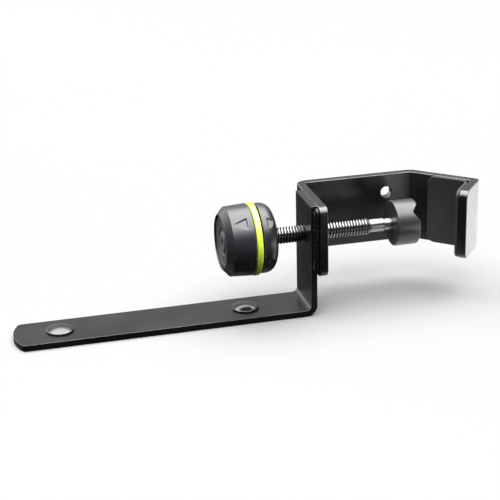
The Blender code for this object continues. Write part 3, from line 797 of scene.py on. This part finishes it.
def bracket_path():
    """Outer edge of the bracket seen from above, from leg end to lip end."""
    jaw_bend = Vector((JAW_BEND_X, BRACKET_HIGH.y))
    lip_angle = JAW_ANGLE + LIP_TURN
    apex = jaw_bend + Vector((math.cos(JAW_ANGLE), -math.sin(JAW_ANGLE))) * JAW_WALL_LENGTH
    lip_end = apex + Vector((math.cos(lip_angle), -math.sin(lip_angle))) * LIP_LENGTH
    return [Vector((BRACKET_LOW.x, BRACKET_LOW.y)),
            Vector((BRACKET_LOW.x, BRACKET_HIGH.y)), jaw_bend, apex, lip_end]


def bar_end_waste(end, inward, depth, heights, radius):
    """Waste outside the two rounded corners at one end of an upright bar.

    The arcs run 0.01 mm past the bar, so that no cut lies in one of its faces.
    """
    middle = radius - 0.01 * MM
    curve = arc((middle, middle), radius, math.pi, 1.5 * math.pi, 14)
    outline = [(middle, -CUT_MARGIN), (-CUT_MARGIN, -CUT_MARGIN), (-CUT_MARGIN, middle)]
    outline += curve
    solids = []
    for edge_z, sign in ((heights[1], -1), (heights[0], 1)):
        points = []
        for along, up in outline:
            place = end + inward * along - depth * 0.5
            points.append((place.x, place.y, edge_z + sign * up))
        solids.append(prism(points, (2 * depth.x, 2 * depth.y, 0)))
    return solids


def make_bracket(material):
    """Flat bar bent into the C and the V jaw, edges rounded."""
    path = bracket_path()
    heights = (BRACKET_LOW.z, BRACKET_HIGH.z)
    wall_bend = bend_radii(BAR_BEND_RADIUS, BAR_THICKNESS)
    outline = bent_strip(path, BAR_THICKNESS, -1, [wall_bend, wall_bend, APEX_BEND])
    cutters = []
    for end, neighbour, side in ((path[0], path[1], 1), (path[-1], path[-2], -1)):
        inward = (neighbour - end).normalized()
        depth = Vector((inward.y, -inward.x)) * side * BAR_THICKNESS
        cutters += bar_end_waste(end, inward, depth, heights, BAR_CORNER_RADIUS)
    through = BAR_THICKNESS + 2 * CUT_MARGIN
    wall_y = BRACKET_HIGH.y - BAR_THICKNESS
    cutters.append(cylinder(BUSH_HOLE_RADIUS, (BRACKET_LOW.x - CUT_MARGIN, 0, SCREW_Z),
                            (1, 0, 0), through))
    cutters.append(cylinder(FIXING_HOLE_RADIUS,
                            (FIXING_HOLE.x, wall_y - CUT_MARGIN, FIXING_HOLE.z),
                            (0, 1, 0), through))
    bracket = carved("bracket", standing(outline, *heights), material, cutters, BAR_EDGE)
    return settle_on(bracket, FRAME_BODY, "black_powder_coat", "clamp_bracket")


def make_liner(material):
    """V-shaped rubber lining with soft edges."""
    _, _, jaw_bend, apex, lip_end = bracket_path()
    along_jaw = (apex - jaw_bend).normalized()
    along_lip = (lip_end - apex).normalized()
    lift = BAR_THICKNESS + GAP
    inner_apex = offset_corner(jaw_bend, apex, lip_end, -lift)
    jaw_inside = Vector((along_jaw.y, -along_jaw.x))
    lip_inside = Vector((along_lip.y, -along_lip.x))
    start = jaw_bend + along_jaw * LINER_START + jaw_inside * lift
    end = lip_end - along_lip * LINER_END_MARGIN + lip_inside * lift
    outline = bent_strip([start, inner_apex, end], LINER_THICKNESS, -1,
                         [bend_radii(LINER_BEND_RADIUS, LINER_THICKNESS)])
    heights = (LINER_LOW.z, LINER_HIGH.z)
    cutters = []
    for place, inward, inside in ((start, along_jaw, jaw_inside),
                                  (end, -along_lip, lip_inside)):
        cutters += bar_end_waste(place, inward, inside * LINER_THICKNESS, heights,
                                 LINER_CORNER_RADIUS)
    liner = carved("liner", standing(outline, *heights), material, cutters, LINER_EDGE)
    return settle_on(liner, FRAME_BODY, "liner_rubber", "jaw_liner")


def make_weld(node, material):
    """Uneven fillet weld in the corner between the upright's edge and the leg."""
    low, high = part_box(node)
    sign = 1 if low.y > 0 else -1
    near_y = low.y if sign > 0 else -high.y
    leg_x, leg_y = high.x - low.x, high.y - low.y
    across = 14
    rows = round((high.z - low.z) / WELD_ROW)
    builder = bmesh.new()
    loops = []
    for row in range(rows + 1):
        z = low.z + (high.z - low.z) * row / rows
        end_share = min(1.0, min(z - low.z, high.z - z) / WELD_END)
        fullness = 0.35 + 0.65 * math.sin(end_share * math.pi / 2)
        wander = sum(share * math.sin(z / length + phase)
                     for share, length, phase in WELD_WANDER)
        loop = [builder.verts.new((high.x, sign * near_y, z))]
        for step in range(across + 1):
            share = step / across
            crescent = (z + WELD_SAG * (2 * share - 1) ** 2) / WELD_RIPPLE
            dent = 0.035 * math.cos(2 * math.pi * crescent + 2 * math.sin(crescent * 0.7))
            middle = math.sin(math.pi * share)
            reach = min(1.0, fullness * (0.88 + (0.08 + wander) * middle + dent * middle))
            slant = share * math.pi / 2
            place_x = high.x - leg_x * reach * math.cos(slant) ** 1.2
            place_y = near_y + leg_y * reach * math.sin(slant) ** 1.2
            loop.append(builder.verts.new((place_x, sign * place_y, z)))
        loops.append(loop)
    bead = add_piece(node.replace("weld", "weld_bead"), skinned(builder, loops), material, 60)
    return settle_on(bead, FRAME_BODY, "black_powder_coat", node)


def make_seam(material):
    """Paint-filled seam along the top, between the upright and the leg."""
    top = BRACKET_HIGH.z
    left, right = STRAP_HIGH.x - SEAM_OVERLAP[0], BRACKET_LOW.x + SEAM_OVERLAP[1]
    half = STRAP_HIGH.y - SEAM_MARGIN
    rows, across = 90, 8
    builder = bmesh.new()
    loops = []
    for row in range(rows + 1):
        y = -half + 2 * half * row / rows
        taper = min(1.0, (half - abs(y)) / SEAM_END)
        loop = [builder.verts.new((x, y, top - SEAM_DEPTH)) for x in (right, left)]
        for step in range(across + 1):
            share = step / across
            sway = math.sin(y / (1.1 * MM) + 3 * share) + math.sin(y / (2.7 * MM))
            sag = 0.09 + 0.03 * sway + 0.3 * (1 - taper)
            sag += 0.10 * (1 - math.sin(math.pi * share))
            loop.append(builder.verts.new((left + (right - left) * share, y, top - sag * MM)))
        loops.append(loop)
    seam = add_piece("weld_seam_top", skinned(builder, loops), material, 60)
    return settle_on(seam, FRAME_BODY, "black_powder_coat")


# ---- rivets and bush

def make_rivet(node, material):
    """Dome-head rivet: round-edged rim and a low dome."""
    low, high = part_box(node)
    head_radius = (high.x - low.x) / 2
    seat = STRAP_THICKNESS + GAP
    rim = seat + RIVET_RIM_HEIGHT
    dome_height = high.z - rim
    dome_radius = (head_radius ** 2 + dome_height ** 2) / (2 * dome_height)
    edge_angle = math.asin(head_radius / dome_radius)
    dome = arc((rim + dome_height - dome_radius, 0), dome_radius, edge_angle, 0, 24)
    flank = softened([(low.z, 0), (low.z, RIVET_SHANK_RADIUS), (seat, RIVET_SHANK_RADIUS),
                      (seat, head_radius), dome[0], dome[2]], RIVET_EDGE, 5)
    builder = grid_solid(None, flank[:-1] + dome[2:-1] + [Vector((high.z, 0))], 96, 0.0)
    middle = (low.x + high.x) / 2
    bmesh.ops.transform(builder, matrix=Matrix.Translation((middle, 0, 0))
                        @ Matrix.Rotation(-math.pi / 2, 4, "Y"), verts=builder.verts)
    rivet = add_piece(node.replace("rivet", "dome_rivet"), builder, material, 50)
    return settle_on(rivet, FRAME_BODY, "black_rivet", node)


def make_bush(material):
    """Flanged bush with soft edges; the screw's thread fills its plain bore."""
    bore, barrel = BUSH_BORE_RADIUS, BUSH_BARREL_RADIUS
    seat = BRACKET_LOW.x + BAR_THICKNESS + GAP
    profile = [(BUSH_LOW.x, bore), (BUSH_LOW.x, barrel), (seat, barrel),
               (seat, BUSH_HIGH.y), (BUSH_HIGH.x, BUSH_HIGH.y), (BUSH_HIGH.x, bore)]
    stations = softened(profile, BUSH_EDGE, closed=True)
    bush = add_piece("bush", grid_solid(None, stations, 96), material, 50)
    return settle_on(bush, FRAME_BODY, "zinc_steel", "threaded_bush")


# ---- screw and pad

def thread_radius(turn):
    """Radius of the thread at a share of its pitch, 0 to 1: flank, crest, flank, root."""
    height = min(1.0, turn / FLANK_SHARE, (1 - ROOT_SHARE - turn) / FLANK_SHARE)
    return THREAD_ROOT_RADIUS + (THREAD_RADIUS - THREAD_ROOT_RADIUS) * max(0.0, height)


def thread_rows():
    """Shares of the pitch where the thread has a row of points."""
    crest_end = FLANK_SHARE + CREST_SHARE
    flank_end = crest_end + FLANK_SHARE
    return [0.0, 0.04, FLANK_SHARE / 2, FLANK_SHARE - 0.02, FLANK_SHARE,
            FLANK_SHARE + CREST_SHARE / 2, crest_end, crest_end + 0.02,
            crest_end + FLANK_SHARE / 2, flank_end - 0.04, flank_end, 1 - ROOT_SHARE / 2]


def thread_skin(builder, steps):
    """Helical thread from the screw's end to its neck, chamfered at both."""
    turns = math.ceil((THREAD_END_X - SCREW_LOW.x) / PITCH) + 2
    shares = thread_rows()
    rows = [(turn + share) * PITCH for turn in range(-1, turns) for share in shares]
    grid = []
    for row in rows:
        line = []
        for step in range(steps):
            x = SCREW_LOW.x + row + PITCH * step / steps
            x = min(max(x, SCREW_LOW.x), THREAD_END_X)
            radius = min(thread_radius((row / PITCH) % 1.0),
                         THREAD_ROOT_RADIUS + (x - SCREW_LOW.x),
                         NECK_RADIUS + (THREAD_END_X - x))
            line.append(builder.verts.new(round_axis(x, radius, 2 * math.pi * step / steps)))
        grid.append(line)
    last = len(rows) - 1
    for i in range(last):
        for step in range(steps - 1):
            builder.faces.new((grid[i][step], grid[i + 1][step], grid[i + 1][step + 1],
                               grid[i][step + 1]))
        low = min(i + len(shares), last)
        high = min(i + 1 + len(shares), last)
        if low < high:
            builder.faces.new((grid[i][-1], grid[i + 1][-1], grid[high][0], grid[low][0]))


def make_screw(material):
    """Clamp screw with a true helical thread, neck, groove and journal."""
    steps = 48
    builder = bmesh.new()
    thread_skin(builder, steps)
    groove_end = NECK_END_X + GROOVE_WIDTH
    tail = softened([(THREAD_END_X, NECK_RADIUS), (NECK_END_X, NECK_RADIUS),
                     (NECK_END_X, GROOVE_RADIUS), (groove_end, GROOVE_RADIUS),
                     (groove_end, JOURNAL_RADIUS), (SCREW_HIGH.x, JOURNAL_RADIUS),
                     (SCREW_HIGH.x, 0)], SCREW_EDGE)
    head = [(SCREW_LOW.x, 0), (SCREW_LOW.x, THREAD_ROOT_RADIUS)]
    for stations in (head, tail):
        ringed(builder, stations, steps)
    bmesh.ops.remove_doubles(builder, verts=builder.verts, dist=0.002 * MM)
    bmesh.ops.dissolve_degenerate(builder, edges=builder.edges, dist=0.001 * MM)
    screw = add_piece("screw", builder, material, 42)
    return settle_on(screw, SCREW_BODY, "black_nickel", "clamp_screw")


def make_pad(material):
    """Round pad: socket in its flat back, rounded rim, V groove across its far face."""
    radius = PAD_HIGH.y
    floor = PAD_LOW.x + SOCKET_DEPTH
    stations = [(floor, 0), (floor, SOCKET_RADIUS)]
    stations += softened([(PAD_LOW.x, SOCKET_RADIUS), (PAD_LOW.x, radius),
                          (PAD_HIGH.x, radius), (PAD_HIGH.x, 0)], PAD_RIM_ROUNDING, 6)
    pad = add_piece("pad", grid_solid(None, stations, 128), material, 50)
    mouth = V_HALF_WIDTH + (V_HALF_WIDTH - V_FLOOR_HALF_WIDTH) / V_DEPTH * CUT_MARGIN
    mouth_x = PAD_HIGH.x + CUT_MARGIN
    floor_x = PAD_HIGH.x - V_DEPTH
    outline = [(mouth_x, -mouth), (floor_x, -V_FLOOR_HALF_WIDTH),
               (floor_x, V_FLOOR_HALF_WIDTH), (mouth_x, mouth)]
    low = -radius - CUT_MARGIN
    groove = prism([(x, y, low) for x, y in outline], (0, 0, -2 * low))
    turn = Matrix.Translation((0, 0, SCREW_Z)) @ Matrix.Rotation(V_TURN, 4, "X")
    bmesh.ops.transform(groove, matrix=turn, verts=groove.verts)
    carve(pad, [groove])
    round_edges(pad, PAD_EDGE, 3, 32)
    return settle_on(pad, PAD_BODY, "pad_plastic", "pad_body")


# ---- knob

def facet_cut(apex, low_corner, high_corner, depth):
    """Depth rule of a triangular facet cut into a round body.

    Each corner is (x, angle, radius).  The facet passes through the apex and the low
    corner on the surface and runs depth below it at the high corner, where walls
    stand on its upper edge and on the edge between the two corners.
    """
    def at(corner, sink=0.0):
        x, angle, radius = corner
        return Vector((x, (radius - sink) * math.cos(angle), (radius - sink) * math.sin(angle)))

    a, b, c = at(apex), at(low_corner), at(high_corner, depth)
    normal = (b - a).cross(c - a).normalized()
    level = normal.dot(a)

    def rule(x, radius, angle):
        across = normal.y * math.cos(angle) + normal.z * math.sin(angle)
        if abs(across) < 1e-6:
            return 0.0
        sunk = radius - (level - normal.x * x) / across
        span = (x - apex[0]) / (high_corner[0] - apex[0])
        upper = apex[1] + (high_corner[1] - apex[1]) * span
        to_upper = (upper - angle) * radius
        side = 1 if high_corner[0] > apex[0] else -1
        end_x = low_corner[0] + ((high_corner[0] - low_corner[0])
                                 * (angle - low_corner[1]) / (high_corner[1] - low_corner[1]))
        to_end = (end_x - x) * side
        wall = min(to_upper, to_end) / FACET_WALL
        if wall <= 0 or sunk <= 0 or span <= 0:
            return 0.0
        wall = min(wall, 1.0)
        return sunk * wall * wall * (3 - 2 * wall)

    return rule


def faceted(apex, edge, turns, depth, outside_radius):
    """Radius rule that repeats a facet round the knob, on its outside only.

    apex and edge are (x, radius); turns are those of the apex and of the edge's ends.
    """
    rule = facet_cut(*((x, turn, radius) for (x, radius), turn
                       in zip((apex, edge, edge), turns)), depth)
    pitch = 2 * math.pi / FACETS

    def radius_at(x, radius, angle):
        if radius < outside_radius:
            return radius
        local = (angle - FACET_TURN + pitch / 2) % pitch - pitch / 2
        return radius - rule(x, radius, local)

    return radius_at


def make_front_grip(material):
    """Front grip: rounded rim, taper, shoulder and a ring of triangular facets."""
    radius = FRONT_HIGH.y
    inner = KNOB_CORE_RADIUS
    front, end = FRONT_LOW.x, FRONT_HIGH.x
    profile = [(CORE_FRONT_X, inner), (CORE_FRONT_X, GRIP_RIM_INNER_RADIUS),
               (front, GRIP_RIM_INNER_RADIUS), (front, GRIP_RIM_RADIUS),
               (GRIP_SHOULDER_X, GRIP_SHOULDER_RADIUS), (end, radius), (end, inner)]
    stations = subdivided(softened(profile, GRIP_EDGE, closed=True), 0.22 * MM)
    taper = (radius - GRIP_SHOULDER_RADIUS) / (end - GRIP_SHOULDER_X)
    apex_x, edge_x = FRONT_FACET_X
    edge_radius = GRIP_SHOULDER_RADIUS + taper * (edge_x - GRIP_SHOULDER_X)
    rule = faceted((apex_x, GRIP_SHOULDER_RADIUS), (edge_x, edge_radius),
                   FRONT_FACET_TURNS, FRONT_FACET_DEPTH, FRONT_FACET_FROM)
    grip = add_piece("grip_front", grid_solid(rule, stations, 400), material, 60)
    return settle_on(grip, SCREW_BODY, "soft_grip", "knob_grip_front")


def make_rear_grip(material):
    """Rear grip: a cup with a round back and a smaller ring of mirrored facets."""
    radius = REAR_HIGH.y
    inner = KNOB_CORE_RADIUS
    start, back = REAR_LOW.x, REAR_HIGH.x
    fall = radius - GRIP_BACK_RADIUS
    curve = arc((back - fall, GRIP_BACK_RADIUS), fall, math.pi / 2, 0, 22)
    hollow_x = back - REAR_WALL
    profile = softened([(start, inner), (start, radius), curve[0], curve[1]], 0.4 * MM)
    stations = profile[:-1] + curve[1:]
    stations += softened([curve[-1], (back, REAR_THROAT_RADIUS),
                          (hollow_x, REAR_THROAT_RADIUS), (hollow_x, inner),
                          (start, inner)], 0.3 * MM)[1:-1]
    stations = subdivided(stations, 0.25 * MM)
    apex_x, edge_x = (back - distance for distance in REAR_FACET_X)
    rule = faceted((apex_x, REAR_APEX_RADIUS), (edge_x, radius),
                   REAR_FACET_TURNS, REAR_FACET_DEPTH, REAR_FACET_FROM)
    grip = add_piece("grip_rear", grid_solid(rule, stations, 360), material, 60)
    return settle_on(grip, SCREW_BODY, "soft_grip", "knob_grip_rear")


def make_ring(material):
    """Lime ring with softly rounded shoulders."""
    inner = KNOB_CORE_RADIUS
    profile = [(RING_LOW.x, inner), (RING_LOW.x, RING_HIGH.y), (RING_HIGH.x, RING_HIGH.y),
               (RING_HIGH.x, inner)]
    stations = softened(profile, RING_EDGE, 6, closed=True)
    ring = add_piece("ring", grid_solid(None, stations, 160), material, 50)
    return settle_on(ring, SCREW_BODY, "lime_ring", "knob_ring")


def make_cap(material):
    """Front cap: a dished disc with raised rings round a hexagonal tool hole."""
    hole = CAP_HOLE_RADIUS
    profile = [(CAP_HIGH.x, hole), (CAP_LOW.x, hole)]
    profile += [(CAP_LOW.x + depth, radius) for radius, depth in CAP_RELIEF]
    profile += [(CAP_LOW.x + CAP_RELIEF[-1][1], CAP_HIGH.y), (CAP_HIGH.x, CAP_HIGH.y)]

    def hexagonal(x, radius, angle):
        """Six flats in the hole, the rest of the cap stays round."""
        if radius > hole * 1.1:
            return radius
        sector = math.pi / 3
        return hole * 0.88 / math.cos((angle % sector) - sector / 2)

    stations = softened(profile, CAP_EDGE, 3, closed=True)
    cap = add_piece("cap", grid_solid(hexagonal, stations, 144), material, 40)
    return settle_on(cap, SCREW_BODY, "cap_plastic", "knob_cap")


# ---- stage, light, camera

def make_floor():
    """Plain pale floor.  It stays out of reflections, which show the studio instead."""
    n = Nodes("floor")
    tone = n.mixed(n.noise(0.4), (FLOOR_TONE,) * 3, (FLOOR_TONE * 1.02,) * 3)
    n.finish(tone, 0.9, Specular_IOR_Level=0.0)
    builder = bmesh.new()
    bmesh.ops.create_grid(builder, x_segments=1, y_segments=1, size=6.0)
    floor = add_piece("floor", builder, n.owner)
    floor.location.z = -0.05 * MM
    floor.visible_glossy = False
    floor.visible_diffuse = False
    floor.visible_shadow = False


def make_sweeps():
    """Light panels just under the floor, which lets their light through."""
    for i, (left, right, near, far, radiance) in enumerate(SWEEPS):
        light = bpy.data.lights.new(f"sweep_{i}", "AREA")
        light.shape = "RECTANGLE"
        light.size = right - left
        light.size_y = far - near
        light.energy = math.pi * radiance * light.size * light.size_y
        item = bpy.data.objects.new(f"sweep_{i}", light)
        item.location = ((left + right) / 2, (near + far) / 2, -2 * MM)
        item.rotation_euler = (math.pi, 0, 0)
        item.visible_camera = False
        bpy.context.scene.collection.objects.link(item)


def make_world():
    """Soft studio sky: a bright ceiling, a dim surround and two glows behind."""
    world = bpy.data.worlds.new("studio")
    bpy.context.scene.world = world
    n = Nodes("studio", world)
    total = None
    for axis, low, high, radiance in STUDIO_LOBES:
        aim = n.add("ShaderNodeVectorMath", operation="DOT_PRODUCT")
        n.link(n.place, aim.inputs[0])
        aim.inputs[1].default_value = Vector(axis).normalized()
        lobe = n.ranged(aim.outputs["Value"], low, high, 0.0, radiance)
        total = lobe if total is None else n.math("ADD", total, lobe)
    mix = n.add("ShaderNodeMixShader")
    n.link(n.add("ShaderNodeLightPath").outputs["Is Camera Ray"], mix.inputs["Fac"])
    for shader, strength in zip(mix.inputs[1:], (total, None)):
        background = n.add("ShaderNodeBackground")
        background.inputs["Color"].default_value = (1.0, 1.0, 1.0, 1.0)
        if strength:
            n.link(strength, background.inputs["Strength"])
        n.link(background.outputs[0], shader)
    n.link(mix.outputs[0], n.tree.nodes["World Output"].inputs["Surface"])


def make_camera():
    """Camera at the angle of the photograph."""
    camera = bpy.data.cameras.new("camera")
    camera.lens = CAMERA_LENS
    camera.sensor_width = 36.0
    camera.clip_start = 0.01
    item = bpy.data.objects.new("camera", camera)
    item.location = CAMERA_PLACE
    item.rotation_euler = [math.radians(angle) for angle in CAMERA_TURN]
    bpy.context.scene.collection.objects.link(item)
    bpy.context.scene.camera = item


# ---- assembly

def refinish(material, *nodes):
    """Give CAD nodes that stay as they are a better material."""
    for node in nodes:
        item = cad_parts[node]
        if not item.material_slots:
            item.data.materials.append(material)
        for slot in item.material_slots:
            slot.material = material


make_camera()
make_strap(powder_coat("powder_coat_strap", "Y", STRAP_LOW.x))
make_bracket(powder_coat("powder_coat_bar", "Z"))
weld_coat = powder_coat("powder_coat_weld")
make_weld("weld_front", weld_coat)
make_weld("weld_rear", weld_coat)
make_seam(weld_coat)
rivet_finish = rivet_black()
make_rivet("rivet_outer", rivet_finish)
make_rivet("rivet_inner", rivet_finish)
zinc_finish = zinc()
make_bush(zinc_finish)
make_liner(liner_rubber())
make_screw(dark_nickel())
make_pad(pad_plastic())
grip_rubber = soft_touch()
make_front_grip(grip_rubber)
make_rear_grip(grip_rubber)
make_ring(lime_plastic())
make_cap(cap_plastic())
refinish(hub_plastic(), "knob_core")
refinish(brass(), "knob_insert")
refinish(oxide(), "knob_screw", "pad_snap_ring")
refinish(zinc_finish, "knob_washer", "thrust_disc")
make_floor()
make_world()
make_sweeps()
bpy.context.scene.view_settings.view_transform = "Standard"
